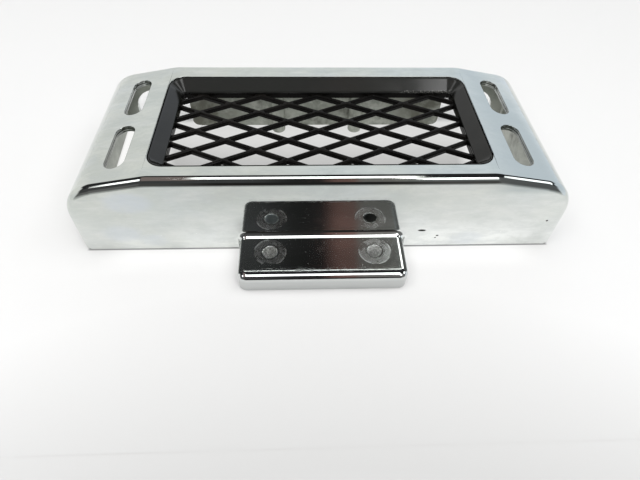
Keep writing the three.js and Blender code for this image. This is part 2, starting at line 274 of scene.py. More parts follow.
def build_housing():
    body = shell("h_body", 0.0, 0.0, DEPTH, EDGE_R, -12.0, 9, 0)
    boolean(body, shell("h_cavity", WALL, WALL, DEPTH - WALL, 1.6, -22.0, 4, 1, crease_r=22.0, n_sh=12), "DIFFERENCE")
    for k, (x, y) in SCREW_AT.items():
        boolean(body, cyl("boss", x, y, FACE_H - BOSS_BOTTOM, FACE_H - 2.5, BOSS_R, 36, LEAN, 1), "UNION")
    for k, (x, y) in SCREW_AT.items():
        boolean(body, cyl("bore", x, y, FACE_H - 9, FACE_H - SCREW_TIP + 0.4, SHANK_R + FIT, 24, LEAN, 1), "DIFFERENCE")
    for s in (-1, 1):
        boolean(body, cyl("post", s * POST_X, POST_Y, -10, POST_TOP, POST_R, 40, LEAN, 1), "UNION")

    # tab: rings of its outline, drawn in towards the top, which rises to the
    # free edge; the rear end runs into the wall
    rings = []
    def outline(o):
        w, f, r = TAB_W - o, -TAB_OUT + CLEAR + o, max(TAB_CORNER_R - o * 0.8, 0.6)
        pts = [(-w, 2.0)]
        for i in range(11):
            t = math.pi + math.pi / 2 * i / 10
            pts.append((-w + r + r * math.cos(t), f + r + r * math.sin(t)))
        for i in range(11):
            t = -math.pi / 2 + math.pi / 2 * i / 10
            pts.append((w - r + r * math.cos(t), f + r + r * math.sin(t)))
        pts.append((w, 2.0))
        return pts
    rings.append([(x, y, -6.0) for x, y in outline(0)])
    for i in range(13):
        t = math.pi / 2 * i / 12
        rings.append([(x, y, TAB_T - TAB_RISE * y - TAB_EDGE_DOWN * (1 - math.sin(t))) for x, y in outline(TAB_EDGE_IN * (1 - math.cos(t)))])
    boolean(body, rings_mesh("h_tab", rings, LEVEL, 0), "UNION")
    tidy(body)

    # fillet round the tab's root, longer along the tab than up the wall: the
    # body is squeezed in y while the edge is rounded
    bm = bmesh.new()
    bm.from_mesh(body.data)
    inv = LEAN.inverted()
    edges = []
    for e in bm.edges:
        a, b = (inv @ v.co for v in e.verts)
        la, lb = (v.co for v in e.verts)
        if abs(a.y) < 0.01 and abs(b.y) < 0.01 and max(abs(a.x), abs(b.x)) < TAB_W + 0.05 and max(la.z, lb.z) < TAB_T + 0.1 and min(la.z, lb.z) > -6.1:
            if len(e.link_faces) == 2 and e.calc_face_angle(0) > 0.5:
                edges.append(e)
    k = ROOT_UP / ROOT_OUT
    for v in bm.verts:
        v.co.y *= k
    bmesh.ops.bevel(bm, geom=edges, offset=ROOT_UP, offset_type="OFFSET", segments=10, profile=0.5,
                    affect="EDGES", clamp_overlap=False, material=-1)
    for v in bm.verts:
        v.co.y /= k
    for f in bm.faces:
        f.smooth = True
    bm.to_mesh(body.data)
    bm.free()

    # face opening, slots, rear notches
    boolean(body, prism("h_open", opening(0, 14), FACE_H - 15, FACE_H + 5, LEAN, 0), "DIFFERENCE")
    for s in (-1, 1):
        for y0, y1 in SLOT_SPANS:
            x = s * SLOT_X
            # the slot's wall has a low parting ridge half way down
            rings = []
            for dz, g in ((-20, 0.0), (-1.95, 0.0), (-1.62, 0.16), (-1.42, 0.16), (-1.1, 0.0), (4, 0.0)):
                rings.append([(px, py, FACE_H - (abs(px) - CREASE_X) * math.tan(FACET) + dz)
                              for px, py in rounded_rect(x - SLOT_W / 2 + g, y0 + g, x + SLOT_W / 2 - g, y1 - g, SLOT_W / 2 - g - 0.01, 12)])
            boolean(body, rings_mesh("h_slot", rings, LEAN, 3), "DIFFERENCE")
    foot = DEPTH * math.tan(TILT)
    for s in (-1, 1):
        n = [(NOTCH_IN - SKIRT_R - 1, -30), (NOTCH_IN - SKIRT_R - 1, foot - 0.001), (NOTCH_IN - SKIRT_R, foot)]
        for i in range(1, 9):
            t = -math.pi / 2 + math.pi / 2 * i / 8
            n.append((NOTCH_IN - SKIRT_R + SKIRT_R * math.cos(t), foot + SKIRT_R + SKIRT_R * math.sin(t)))
        n.append((NOTCH_IN, NOTCH_TOP - NOTCH_R_IN))
        for i in range(1, 9):
            t = math.pi - math.pi / 2 * i / 8
            n.append((NOTCH_IN + NOTCH_R_IN + NOTCH_R_IN * math.cos(t), NOTCH_TOP - NOTCH_R_IN + NOTCH_R_IN * math.sin(t)))
        for i in range(0, 17):
            t = math.pi / 2 * (1 - i / 16)
            n.append((NOTCH_OUT - NOTCH_R_OUT + NOTCH_R_OUT * math.cos(t), NOTCH_TOP - NOTCH_R_OUT + NOTCH_R_OUT * math.sin(t)))
        n.append((NOTCH_OUT, -30))
        boolean(body, prism_y("h_notch", [(s * x, z) for x, z in n], DEPTH - WALL - 1, DEPTH + 2, LEAN, 0), "DIFFERENCE")

    # tab bolt holes and post bores
    for s in (-1, 1):
        # the bolt hole's wall is grooved
        prof = [(TAB_HOLE_R, -20)]
        z = 0.6
        while z < TAB_T - 0.4:
            prof += [(TAB_HOLE_R, z), (TAB_HOLE_R + 0.36, z + 0.5), (TAB_HOLE_R, z + 1.0)]
            z += 1.12
        prof.append((TAB_HOLE_R, TAB_T + 5))
        boolean(body, lathe("t_hole", prof, 64, LEVEL @ Matrix.Translation((s * TAB_HOLE_X, TAB_HOLE_Y, 0)), 2), "DIFFERENCE")
        pf = POST_Y * math.tan(TILT)
        boolean(body, cyl("p_bore", s * POST_X, POST_Y, pf - 14, pf + POST_BORE_DEEP, POST_BORE_R, 28, LEAN, 1), "DIFFERENCE")

    # level rim
    boolean(body, prism("h_under", [(-200, -100), (200, -100), (200, 200), (-200, 200)], -60, 0, None, 0), "DIFFERENCE")
    tidy(body, 0.004)
    soften(body, 0.32, 3, 35)
    for v in body.data.vertices:
        v.co.z = max(v.co.z, CLEAR)
        v.co.y = max(v.co.y, lo.y * 1000 + CLEAR)
    return body


# ---------------------------------------------------------------------------
# bezel: one profile carried round the opening
# ---------------------------------------------------------------------------
def build_bezel():
    prof = [(FIT, -0.7), (FIT + 0.08, -0.42), (FIT + 0.3, -0.28), (FIT + 0.62, -0.40)]
    # band down to the inner lip, with a small radius at its foot
    prof += [(1.4, -1.12), (3.1, -2.74), (4.9, -4.46), (5.35, -4.9), (5.62, -5.2), (5.76, -5.55), (BEZEL_INSET, -5.9)]
    prof += [(BEZEL_INSET, -6.3), (BEZEL_INSET - 0.06, -6.44), (BEZEL_INSET - 0.2, -BEZEL_BOTTOM)]
    prof += [(-BEZEL_FLANGE + 0.2, -BEZEL_BOTTOM), (-BEZEL_FLANGE, -BEZEL_BOTTOM + 0.2), (-BEZEL_FLANGE, -BEZEL_FLANGE_TOP - 0.2), (-BEZEL_FLANGE + 0.2, -BEZEL_FLANGE_TOP)]
    prof += [(FIT - 0.15, -BEZEL_FLANGE_TOP), (FIT, -BEZEL_FLANGE_TOP + 0.15)]
    rings = [[(x, y, FACE_H + z) for x, y in opening(-u, 12)] for u, z in prof]
    ob = rings_mesh("bezel_mesh", rings, LEAN, 0, loop=True)
    ob.data.set_sharp_from_angle(angle=math.radians(50))
    w = ob.modifiers.new("normals", "WEIGHTED_NORMAL")
    w.weight = 90
    w.keep_sharp = True
    bake_modifiers(ob)
    return ob


# ---------------------------------------------------------------------------
# lattice panel
# ---------------------------------------------------------------------------
def rounded_poly(pts, radii, n=4):
    out = []
    m = len(pts)
    for i in range(m):
        p, a, b = Vector(pts[i]), Vector(pts[i - 1]), Vector(pts[(i + 1) % m])
        u, v = (a - p).normalized(), (b - p).normalized()
        half = u.angle(v) / 2
        d = radii[i] / math.tan(half)
        c = p + (u + v).normalized() * (radii[i] / math.sin(half))
        s, e = p + u * d - c, p + v * d - c
        a0, a1 = math.atan2(s.y, s.x), math.atan2(e.y, e.x)
        da = (a1 - a0 + math.pi) % (2 * math.pi) - math.pi
        for k in range(n + 1):
            t = a0 + da * k / n
            out.append((c.x + radii[i] * math.cos(t), c.y + radii[i] * math.sin(t)))
    return out


def build_lattice():
    z1 = FACE_H - PANEL_TOP
    z0 = z1 - PANEL_T
    panel = prism("panel_mesh", rounded_rect(-PANEL_X, PANEL_Y0, PANEL_X, PANEL_Y1, PANEL_R, 8), z0, z1, LEAN, 0)
    wx, wy0, wy1 = OPEN_X - BEZEL_INSET, OPEN_Y0 + BEZEL_INSET, OPEN_Y1 - BEZEL_INSET
    ang = math.atan2(PITCH_Y, PITCH_X)
    hx = PITCH_X / 2 - BAR_W / 2 / math.sin(ang)
    hy = PITCH_Y / 2 - BAR_W / 2 / math.cos(ang)
    top_r, foot_r = 0.88, 0.25
    levels = [(z0 - 2, foot_r), (z0, foot_r), (z0 + foot_r * 0.3, foot_r * 0.3), (z0 + foot_r, 0.0)]
    levels += [(z1 - top_r * (1 - math.sin(math.pi / 2 * i / 7)), top_r * (1 - math.cos(math.pi / 2 * i / 7))) for i in range(8)]
    levels.append((z1 + 2, top_r))
    verts, faces = [], []
    for i in range(9):
        y = ROW0_Y - i * PITCH_Y / 2
        first = ROW0_X + (0 if i % 2 else PITCH_X / 2)
        for k in range(-1, 6):
            x = first + k * PITCH_X
            if x + hx < -wx + 0.8 or x - hx > wx - 0.8:
                continue
            # the bars' upper edges are well rounded, their lower edges a little
            b = len(verts)
            for z, t in levels:
                o = rounded_poly([(x - hx - t / math.sin(ang), y), (x, y - hy - t / math.cos(ang)), (x + hx + t / math.sin(ang), y), (x, y + hy + t / math.cos(ang))],
                                 [0.35 + t, 0.7 + t, 0.35 + t, 0.7 + t], 4)
                n = len(o)
                verts += [(px, py, z) for px, py in o]
            faces += [tuple(range(b, b + n)), tuple(range(b + (len(levels) - 1) * n, b + len(levels) * n))]
            for i2 in range(len(levels) - 1):
                c = b + i2 * n
                faces += [(c + j, c + (j + 1) % n, c + n + (j + 1) % n, c + n + j) for j in range(n)]
    holes = make("holes", verts, faces, LEAN, 0)
    boolean(holes, prism("window", rounded_rect(-wx, wy0, wx, wy1, OPEN_R - BEZEL_INSET, 6), z0 - 1, z1 + 1, LEAN, 0), "INTERSECT", "MANIFOLD")
    boolean(panel, holes, "DIFFERENCE", "MANIFOLD")
    for x, y in SCREW_AT.values():
        boolean(panel, cyl("ph", x, y, z0 - 1, z1 + 1, SHANK_R + 0.4, 24, LEAN, 0), "DIFFERENCE", "MANIFOLD")
    tidy(panel, 0.0005, True)
    panel.data.set_sharp_from_angle(angle=math.radians(50))
    w = panel.modifiers.new("normals", "WEIGHTED_NORMAL")
    w.weight = 90
    w.keep_sharp = True
    bake_modifiers(panel)
    return panel


# ---------------------------------------------------------------------------
# screws and washers
# ---------------------------------------------------------------------------
def build_screw():
    L = (FACE_H - SCREW_TIP) - HEAD_SEAT
    prof = [(0.02, -HEAD_T), (0.9, -HEAD_T + 0.01), (1.5, -HEAD_T + 0.07), (2.0, -HEAD_T + 0.22), (2.4, -HEAD_T + 0.5),
            (2.62, -HEAD_T + 0.85), (2.75, -0.8), (HEAD_R, -0.45), (HEAD_R, -0.12), (HEAD_R - 0.12, 0.0), (SHANK_R - 0.25, 0.0)]
    # thread drawn as close rounded grooves up the shank
    z = 0.5
    while z < L - 1.6:
        prof += [(SHANK_R - 0.25, z), (SHANK_R - 0.02, z + 0.28), (SHANK_R - 0.02, z + 0.36), (SHANK_R - 0.25, z + 0.64)]
        z += 1.0
    prof += [(SHANK_R - 0.25, L - 1.3), (0.5, L - 0.25), (0.02, L)]
    s = lathe("screw_mesh", prof, 48)
    for turn in (0.0, math.pi / 2):
        w, d = 0.42, 1.55
        ring = lambda hw, hl, z: [(-hl, -hw, z), (hl, -hw, z), (hl, hw, z), (-hl, hw, z)]
        bar = rings_mesh("bar", [ring(w, d + 0.1, -HEAD_T - 0.6), ring(w, d, -HEAD_T), ring(w * 0.75, d * 0.45, -HEAD_T + 1.35)], Matrix.Rotation(turn, 4, "Z"))
        boolean(s, bar, "DIFFERENCE")
    tidy(s)
    soften(s, 0.05, 2, 40)
    return s.data


def build_washer():
    ri = SHANK_R + FIT + 0.05
    e = 0.12
    prof = [(ri + e, 0), (WASHER_R - e, 0), (WASHER_R - e * 0.3, e * 0.3), (WASHER_R, e), (WASHER_R, WASHER_T - e), (WASHER_R - e, WASHER_T),
            (ri + e, WASHER_T), (ri, WASHER_T - e), (ri, e)]
    w = lathe("washer_mesh", prof, 56, ring=True)
    w.data.set_sharp_from_angle(angle=math.radians(60))
    return w.data


# ---------------------------------------------------------------------------
# materials
# ---------------------------------------------------------------------------
class Nodes:
    """A small way to write node trees."""

    def __init__(self, name):
        self.mat = bpy.data.materials.new(name)
        self.mat.use_nodes = True
        self.t = self.mat.node_tree
        self.t.nodes.clear()
        self.out = self.t.nodes.new("ShaderNodeOutputMaterial")
        self.p = self.t.nodes.new("ShaderNodeBsdfPrincipled")
        self.link(self.p.outputs[0], self.out.inputs[0])
        self.co = self.t.nodes.new("ShaderNodeTexCoord").outputs["Object"]

    def link(self, a, b):
        self.t.links.new(a, b)

    def put(self, socket, v):
        if hasattr(v, "is_output"):
            self.link(v, socket)
        else:
            socket.default_value = v

    def math(self, op, a, b=0.0, c=0.0, clamp=False):
        n = self.t.nodes.new("ShaderNodeMath")
        n.operation = op
        n.use_clamp = clamp
        for s, v in zip(n.inputs, (a, b, c)):
            self.put(s, v)
        return n.outputs[0]

    def xyz(self):
        n = self.t.nodes.new("ShaderNodeSeparateXYZ")
        self.link(self.co, n.inputs[0])
        return n.outputs

    def mapped(self, scale=(1, 1, 1), loc=(0, 0, 0), rot=(0, 0, 0)):
        n = self.t.nodes.new("ShaderNodeMapping")
        self.link(self.co, n.inputs[0])
        n.inputs["Location"].default_value = loc
        n.inputs["Rotation"].default_value = rot
        n.inputs["Scale"].default_value = scale
        return n.outputs[0]

    def noise(self, scale, detail=3.0, rough=0.55, vec=None, dist=0.0):
        n = self.t.nodes.new("ShaderNodeTexNoise")
        self.link(vec if vec is not None else self.co, n.inputs["Vector"])
        n.inputs["Scale"].default_value = scale
        n.inputs["Detail"].default_value = detail
        n.inputs["Roughness"].default_value = rough
        n.inputs["Distortion"].default_value = dist
        return n.outputs["Fac"]

    def voronoi(self, scale, vec=None, feature="F1"):
        n = self.t.nodes.new("ShaderNodeTexVoronoi")
        n.feature = feature
        self.link(vec if vec is not None else self.co, n.inputs["Vector"])
        n.inputs["Scale"].default_value = scale
        return n.outputs["Distance"]

    def span(self, v, a, b, lo=0.0, hi=1.0, smooth=True):
        n = self.t.nodes.new("ShaderNodeMapRange")
        n.interpolation_type = "SMOOTHSTEP" if smooth else "LINEAR"
        self.link(v, n.inputs["Value"])
        n.inputs["From Min"].default_value = a
        n.inputs["From Max"].default_value = b
        n.inputs["To Min"].default_value = lo
        n.inputs["To Max"].default_value = hi
        return n.outputs[0]

    def mix(self, fac, a, b):
        n = self.t.nodes.new("ShaderNodeMix")
        n.data_type = "RGBA"
        self.put(n.inputs[0], fac)
        for s, v in ((n.inputs[6], a), (n.inputs[7], b)):
            if not hasattr(v, "is_output"):
                v = (*v[:3], 1.0)
            self.put(s, v)
        return n.outputs[2]

    def bump(self, height, distance, strength=1.0, normal=None):
        n = self.t.nodes.new("ShaderNodeBump")
        n.inputs["Distance"].default_value = distance
        n.inputs["Strength"].default_value = strength
        self.link(height, n.inputs["Height"])
        if normal is not None:
            self.link(normal, n.inputs["Normal"])
        return n.outputs[0]

    def set(self, **kw):
        names = {"color": "Base Color", "metal": "Metallic", "rough": "Roughness", "normal": "Normal",
                 "spec": "Specular IOR Level", "coat": "Coat Weight", "coat_rough": "Coat Roughness", "ior": "IOR"}
        for k, v in kw.items():
            s = self.p.inputs[names[k]]
            if k == "color" and not hasattr(v, "is_output"):
                v = (*v[:3], 1.0)
            self.put(s, v)
        return self.mat


def level_point(x, y, z):
    """A point of the level frame in object coordinates, metres."""
    p = LEVEL @ Vector((x, y, z))
    return p * 0.001


def near(n, point, radius, soft, squash=(1, 1, 1)):
    """1 within radius of a point, falling to 0 over soft (metres)."""
    d = n.t.nodes.new("ShaderNodeVectorMath")
    d.operation = "SUBTRACT"
    n.link(n.co, d.inputs[0])
    d.inputs[1].default_value = point
    m = n.t.nodes.new("ShaderNodeVectorMath")
    m.operation = "MULTIPLY"
    n.link(d.outputs[0], m.inputs[0])
    m.inputs[1].default_value = squash
    l = n.t.nodes.new("ShaderNodeVectorMath")
    l.operation = "LENGTH"
    n.link(m.outputs[0], l.inputs[0])
    return n.span(l.outputs["Value"], radius, radius + soft, 1.0, 0.0)


def chrome(name="chrome_plate", extra=0.0, dull=0.0):
    n = Nodes(name)
    x, y, z = n.xyz()
    # cloudy haze, wipe marks and hairlines
    haze = n.span(n.noise(38.0, 4.0, 0.6), 0.42, 0.72)
    wipe = n.span(n.noise(60.0, 3.0, 0.6, n.mapped((1.0, 9.0, 6.0), rot=(0, 0, 0.12))), 0.5, 0.78)
    hair = n.span(n.noise(420.0, 2.0, 0.5, n.mapped((1.0, 26.0, 26.0), rot=(0.3, 0.1, 0.5))), 0.62, 0.70)
    hair2 = n.span(n.noise(380.0, 2.0, 0.5, n.mapped((24.0, 1.0, 24.0), rot=(0.2, 0.5, -0.35))), 0.64, 0.71)
    hairs = n.math("ADD", hair, hair2, clamp=True)

    # witness rings round the two bolt holes: fine soft scratches on the tab's top
    ax = n.math("SUBTRACT", n.math("ABSOLUTE", x), TAB_HOLE_X / 1000)
    ay = n.math("SUBTRACT", y, (SHIFT_Y + TAB_HOLE_Y) / 1000)
    rr = n.math("SQRT", n.math("ADD", n.math("MULTIPLY", ax, ax), n.math("MULTIPLY", ay, ay)))
    wob = n.math("MULTIPLY", n.math("SUBTRACT", n.noise(260.0, 2.0), 0.5), 0.0005)
    rw = n.math("ADD", rr, wob)
    low = n.math("MULTIPLY", n.span(z, 0.0110, 0.0114, 1.0, 0.0), n.span(z, 0.0088, 0.0092, 0.0, 1.0))
    ring_zone = n.math("MULTIPLY", n.math("MULTIPLY", n.span(rw, 0.0068, 0.0078, 1.0, 0.0), n.span(rw, 0.0034, 0.0046, 0.0, 1.0)), low)
    ripple = n.math("MULTIPLY_ADD", n.math("SINE", n.math("MULTIPLY", rw, 2 * math.pi / 0.00052)), 0.5, 0.5)
    broken = n.span(n.noise(200.0, 3.0, 0.6), 0.28, 0.50)
    rings = n.math("MULTIPLY", ring_zone, n.math("MULTIPLY", n.span(ripple, 0.15, 0.9), broken))
    ring_edge = n.math("MULTIPLY", n.math("MULTIPLY", n.span(rw, 0.0073, 0.0078, 1.0, 0.0), n.span(rw, 0.0067, 0.0072, 0.0, 1.0)), low)
    marks = n.math("ADD", n.math("MULTIPLY", rings, 0.75), n.math("MULTIPLY", ring_edge, n.span(n.noise(150.0), 0.38, 0.64, 0.0, 0.8)), clamp=True)

    rough = n.math("MULTIPLY_ADD", haze, 0.030, 0.022 + extra)
    rough = n.math("MULTIPLY_ADD", wipe, 0.022, rough)
    rough = n.math("MULTIPLY_ADD", hairs, 0.03, rough)
    rough = n.math("MULTIPLY_ADD", marks, 0.36, rough)
    # flecks of dust and nicks on the tab's top
    fleck = n.math("MULTIPLY", n.span(n.noise(1100.0, 2.0, 0.5), 0.735, 0.775), low)
    smear = n.math("MULTIPLY", n.span(n.noise(150.0, 4.0, 0.65), 0.50, 0.78), low)
    rough = n.math("MULTIPLY_ADD", fleck, 0.45, rough)
    rough = n.math("MULTIPLY_ADD", smear, 0.06, rough)

    # small dark marks where the plating is damaged
    spots = None
    for p, r, s, sq in (
        (level_point(47.5, 0.9, 11.2), 0.0006, 0.0005, (0.45, 1, 1.3)),
        (level_point(55.5, 0.6, 7.4), 0.0003, 0.0003, (0.7, 1, 1)),
        (level_point(54.8, 0.5, 5.9), 0.0002, 0.0003, (0.8, 1, 1)),
        (level_point(105.5, 1.2, 17.0), 0.0003, 0.0003, (0.8, 1, 1)),
    ):
        one = near(n, p, r, s, sq)
        spots = one if spots is None else n.math("MAXIMUM", spots, one)
    # tone: broad bluish and greenish clouds, then drawn-out streaks along the cover
    cloud = n.span(n.noise(17.0, 3.0, 0.55, n.mapped((1.0, 1.4, 1.4), loc=(0.31, 0.1, 0.2))), 0.34, 0.66)
    cloud2 = n.span(n.noise(42.0, 3.0, 0.6, n.mapped((1.0, 1.6, 1.6), loc=(1.7, 0.4, 0.6))), 0.48, 0.72)
    drawn = n.noise(46.0, 5.0, 0.70, n.mapped((1.0, 4.5, 4.5), loc=(0.5, 0.2, 0.1)), 0.5)
    fine = n.noise(170.0, 3.0, 0.65, n.mapped((1.0, 16.0, 16.0), loc=(0.2, 0.9, 0.4)))
    base = n.mix(cloud, (0.585, 0.628, 0.612), (0.628, 0.650, 0.602))
    base = n.mix(n.math("MULTIPLY", cloud2, 0.55), base, (0.560, 0.605, 0.640))
    base = n.mix(n.span(drawn, 0.42, 0.72, 0.0, 0.65), base, (0.695, 0.712, 0.690))
    base = n.mix(n.span(fine, 0.50, 0.74, 0.0, 0.5), base, (0.540, 0.570, 0.560))
    base = n.mix(n.math("MULTIPLY", wipe, 0.35), base, (0.645, 0.658, 0.640))
    mottle = n.span(n.noise(52.0, 6.0, 0.72, n.mapped((1.0, 2.2, 2.2), loc=(2.3, 0.6, 1.1)), 0.4), 0.36, 0.60, 0.42, 0.0)
    base = n.mix(mottle, base, (0.455, 0.490, 0.470))
    base = n.mix(n.math("MULTIPLY", hairs, 0.22), base, (0.72, 0.72, 0.70))
    # painted light: paler tone low on the walls and on the right of the front wall, standing in for the reflected
    # bright floor
    painted_low_light = n.math("MULTIPLY", n.span(z, 0.006, 0.034, 1.0, 0.0), n.span(n.noise(34.0, 5.0, 0.65), 0.24, 0.56, 0.35, 1.0))
    painted_low_light = n.math("MULTIPLY", painted_low_light, n.span(x, -0.095, 0.010, 0.45, 1.0))
    right = n.math("MULTIPLY", n.span(x, 0.020, 0.060, 0.0, 0.45), n.span(y, -0.034, -0.032, 1.0, 0.0))
    painted_low_light = n.math("MULTIPLY", n.math("MAXIMUM", painted_low_light, right), n.span(y, -0.0385, -0.0370))
    base = n.mix(painted_low_light, base, (0.885, 0.905, 0.888))
    mottle_low = n.span(n.noise(75.0, 5.0, 0.7, n.mapped((1.0, 3.0, 3.0), loc=(0.9, 2.1, 0.3)), 0.3), 0.38, 0.62, 0.34, 0.0)
    base = n.mix(mottle_low, base, (0.560, 0.590, 0.580))
    # painted reflection: soft bluish clouds on the left of the front wall
    for p, r, k in ((level_point(-85.0, 0.4, 31.0), 0.0045, 0.60), (level_point(-93.0, 0.4, 11.0), 0.0035, 0.45), (level_point(-79.0, 0.4, 6.5), 0.0020, 0.40), (level_point(70.0, 0.4, 5.0), 0.0030, 0.30)):
        one = near(n, p, r, 0.0035, (0.6, 1, 1))
        base = n.mix(n.math("MULTIPLY", one, n.span(n.noise(120.0, 3.0, 0.6), 0.25, 0.60, 0.5 * k, k)), base, (0.590, 0.640, 0.700))
    # painted shade: the tab's plating takes a clearer, even tone, darker on its front face below 8.5 mm
    tab = n.span(y, -0.0400, -0.0375, 0.95, 0.0)
    base = n.mix(tab, base, n.mix(n.span(z, 0.0060, 0.0085), (0.545, 0.560, 0.555), (0.66, 0.675, 0.67)))
    # painted shade: a duller strip of the face at the right
    painted_shade_strip = n.math("MULTIPLY", n.span(x, 0.068, 0.088, 0.0, 0.8), n.span(z, 0.0335, 0.0370))
    base = n.mix(painted_shade_strip, base, (0.455, 0.500, 0.500))
    base = n.mix(spots, base, (0.035, 0.033, 0.03))
    if dull:
        grain = n.noise(520.0, 4.0, 0.7)
        base = n.mix(n.span(grain, 0.30, 0.70, dull * 0.75, dull), base, (0.10, 0.105, 0.095))
    rough = n.math("MULTIPLY_ADD", spots, 0.4, rough)

    wave = n.noise(16.0, 1.0, 0.4)
    orange = n.noise(150.0, 2.0, 0.5)
    nb = n.bump(wave, 0.00022, 1.0)
    nb = n.bump(orange, 0.0000022, 1.0, nb)
    nb = n.bump(hairs, 0.0000010, 1.0, nb)
    nb = n.bump(marks, 0.000003, 1.0, nb)
    nb = n.bump(spots, 0.00005, -0.6, nb)
    return n.set(color=base, metal=1.0, rough=rough, normal=nb)


def cast_inside():
    n = Nodes("cast_inside")
    x, y, z = n.xyz()
    cloud = n.span(n.noise(60.0, 5.0, 0.66), 0.36, 0.66)
    blotch = n.span(n.noise(150.0, 4.0, 0.7, n.mapped(loc=(0.7, 1.3, 0.4))), 0.46, 0.66)
    stain = n.span(n.noise(34.0, 5.0, 0.7, n.mapped(loc=(3.1, 0.2, 0.7))), 0.52, 0.74)
    grit = n.noise(900.0, 3.0, 0.6)
    base = n.mix(cloud, (0.265, 0.285, 0.250), (0.470, 0.495, 0.440))
    base = n.mix(n.math("MULTIPLY", blotch, 0.55), base, (0.600, 0.615, 0.565))
    ax = n.math("ABSOLUTE", x)
    # painted shade: the casting's inside is darker towards both ends, and plainer and darker past 90 mm out
    painted_shade_ends = n.math("MULTIPLY", n.span(ax, 0.034, 0.060), n.span(ax, 0.082, 0.094, 1.0, 0.0))
    base = n.mix(n.span(ax, 0.090, 0.100), base, n.mix(cloud, (0.26, 0.276, 0.246), (0.46, 0.476, 0.436)))
    base = n.mix(n.math("MULTIPLY", painted_shade_ends, n.span(cloud, 0.1, 0.9, 0.25, 0.80)), base, (0.085, 0.082, 0.060))
    base = n.mix(n.math("MULTIPLY", stain, 0.80), base, (0.040, 0.034, 0.026))
    rough = n.math("MULTIPLY_ADD", cloud, 0.16, 0.36)
    nb = n.bump(n.noise(140.0, 3.0, 0.6), 0.00016, 1.0)
    nb = n.bump(grit, 0.00004, 1.0, nb)
    return n.set(color=base, metal=0.6, rough=rough, normal=nb)


def bore_metal():
    """The bare grooved wall of the tab's bolt holes, with painted light and shade."""
    n = Nodes("bore_metal")
    x, y, z = n.xyz()
    grain = n.noise(2200.0, 3.0, 0.7)
    cloud = n.span(n.noise(1500.0, 3.0, 0.6), 0.40, 0.62)
    base = n.mix(cloud, (0.22, 0.23, 0.215), (0.72, 0.73, 0.70))
    # painted light: the right hole's wall is lighter
    base = n.mix(n.math("MULTIPLY", n.span(x, -0.005, 0.005), 0.85), base, n.mix(cloud, (0.50, 0.51, 0.49), (0.98, 0.99, 0.97)))
    # painted shade: the front half of each hole's wall takes a flat tone, grey-blue in the left hole and near black in
    # the right
    behind = n.math("SUBTRACT", y, (SHIFT_Y + TAB_HOLE_Y) / 1000)
    dark = n.mix(n.span(x, -0.005, 0.005), (0.30, 0.33, 0.35), (0.018, 0.018, 0.016))
    base = n.mix(n.span(behind, -0.0008, 0.0010, 0.95, 0.0), base, dark)
    rough = n.math("MULTIPLY_ADD", grain, 0.25, 0.35)
    nb = n.bump(grain, 0.00006, 1.0)
    return n.set(color=base, metal=0.2, rough=rough, normal=nb)


def black_gloss():
    n = Nodes("bezel_black")
    x, y, z = n.xyz()
    along = n.math("MULTIPLY", n.span(x, 0.042, 0.048), n.span(x, 0.069, 0.073, 1.0, 0.0))
    foot = n.math("MULTIPLY", n.span(y, EDGE_FLECK_Y - 0.0008, EDGE_FLECK_Y - 0.0004), n.span(y, EDGE_FLECK_Y + 0.0001, EDGE_FLECK_Y + 0.0006, 1.0, 0.0))
    cloud = n.span(n.noise(55.0, 4.0, 0.6), 0.4, 0.7)
    hair = n.span(n.noise(300.0, 2.0, 0.5, n.mapped((1.0, 22.0, 22.0), rot=(0.2, 0.1, 0.15))), 0.62, 0.70)
    base = n.mix(cloud, (0.0045, 0.0047, 0.0040), (0.0085, 0.0086, 0.0075))
    # painted reflection: the rear band is lighter
    base = n.mix(n.span(y, 0.0385, 0.0395), base, (0.0185, 0.0190, 0.0178))
    # lighter flecks along the lower edge of the rear band
    edge_flecks = n.math("MULTIPLY", n.math("MULTIPLY", along, foot), n.span(n.noise(1500.0, 2.0, 0.6), 0.50, 0.60))
    base = n.mix(n.math("MULTIPLY", hair, 0.08), base, (0.06, 0.06, 0.057))
    base = n.mix(edge_flecks, base, (0.15, 0.15, 0.14))
    rough = n.math("MULTIPLY_ADD", cloud, 0.05, 0.11)
    rough = n.math("MULTIPLY_ADD", hair, 0.06, rough)
    nb = n.bump(n.noise(120.0, 3.0, 0.5), 0.00002, 1.0)
    nb = n.bump(hair, 0.000001, -1.0, nb)
    return n.set(color=base, metal=0.0, rough=rough, normal=nb, spec=0.33)


def black_satin():
    n = Nodes("lattice_black")
    cloud = n.span(n.noise(70.0, 4.0, 0.6), 0.4, 0.7)
    grain = n.noise(1600.0, 2.0, 0.6)
    base = n.mix(cloud, (0.0022, 0.0020, 0.0018), (0.0058, 0.0050, 0.0044))
    rough = n.math("MULTIPLY_ADD", cloud, 0.08, 0.26)
    nb = n.bump(grain, 0.000008, 1.0)
    return n.set(color=base, metal=0.0, rough=rough, normal=nb, spec=0.11)


def zinc(name, tone):
    n = Nodes(name)
    cloud = n.span(n.noise(500.0, 4.0, 0.6), 0.4, 0.7)
    base = n.mix(cloud, tuple(c * 0.82 for c in tone), tone)
    rough = n.math("MULTIPLY_ADD", cloud, 0.16, 0.26)
    nb = n.bump(n.noise(2600.0, 2.0, 0.5), 0.000008, 1.0)
    return n.set(color=base, metal=1.0, rough=rough, normal=nb)


FLOOR = 0.650


